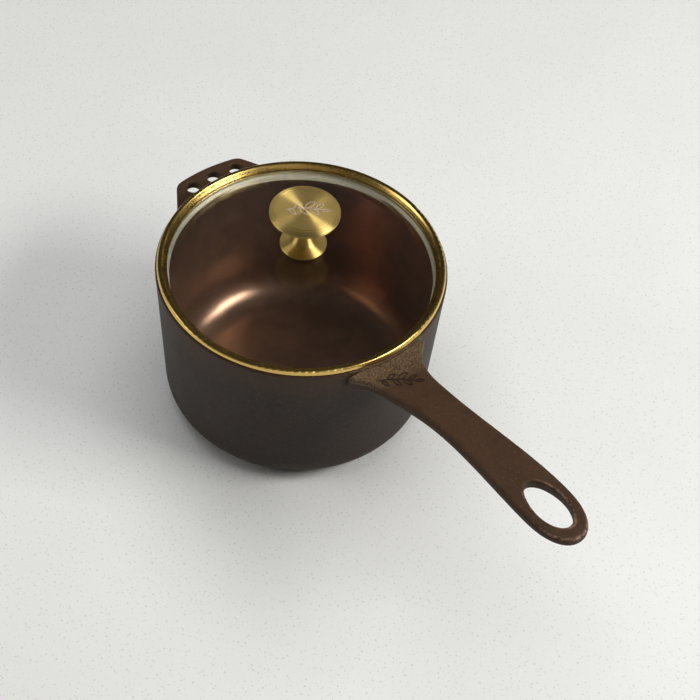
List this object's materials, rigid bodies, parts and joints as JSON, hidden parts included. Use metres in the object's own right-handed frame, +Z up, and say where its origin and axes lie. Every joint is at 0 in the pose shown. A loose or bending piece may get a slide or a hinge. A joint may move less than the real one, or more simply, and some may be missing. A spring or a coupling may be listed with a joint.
{
  "type": "saucepan with glass lid",
  "caption": "Cast-iron saucepan with a long hanging handle, a pierced helper ear and a domed glass lid with a metal rim band and turned knob, for cooking on a hob.",
  "frame": {"origin": "centre of the flat base, on the pan's axis, at the level it stands on", "axes": "+Z up along the pan's axis, +X from the axis along the long handle, -X towards the helper ear"},
  "size_m": [0.4137, 0.2024, 0.18],
  "materials": {
    "seasoned_iron": "cast, seasoned dark brown, low sheen",
    "clear_glass": "clear tempered glass",
    "polished_band": "rolled sheet metal, polished gold tone",
    "turned_brass": "spin-turned and brushed",
    "dark_silicone": "matte silicone",
    "pale_silicone": "thin pale silicone",
    "stainless_steel": "plain stainless steel"
  },
  "bodies": {
    "pan": {"pan_casting": "seasoned_iron"},
    "lid": {"lid_glass": "clear_glass", "lid_rim_band": "polished_band", "rim_liner": "pale_silicone", "knob": "turned_brass", "upper_gasket": "dark_silicone", "lower_gasket": "dark_silicone", "cup_washer": "stainless_steel", "lock_washer": "stainless_steel", "knob_screw": "stainless_steel"}
  },
  "joints": [
    {"name": "lid_lift", "type": "slide", "parent": "pan", "child": "lid", "axis": [0, 0, 1], "range_m": [0, 0.15]}
  ]
}
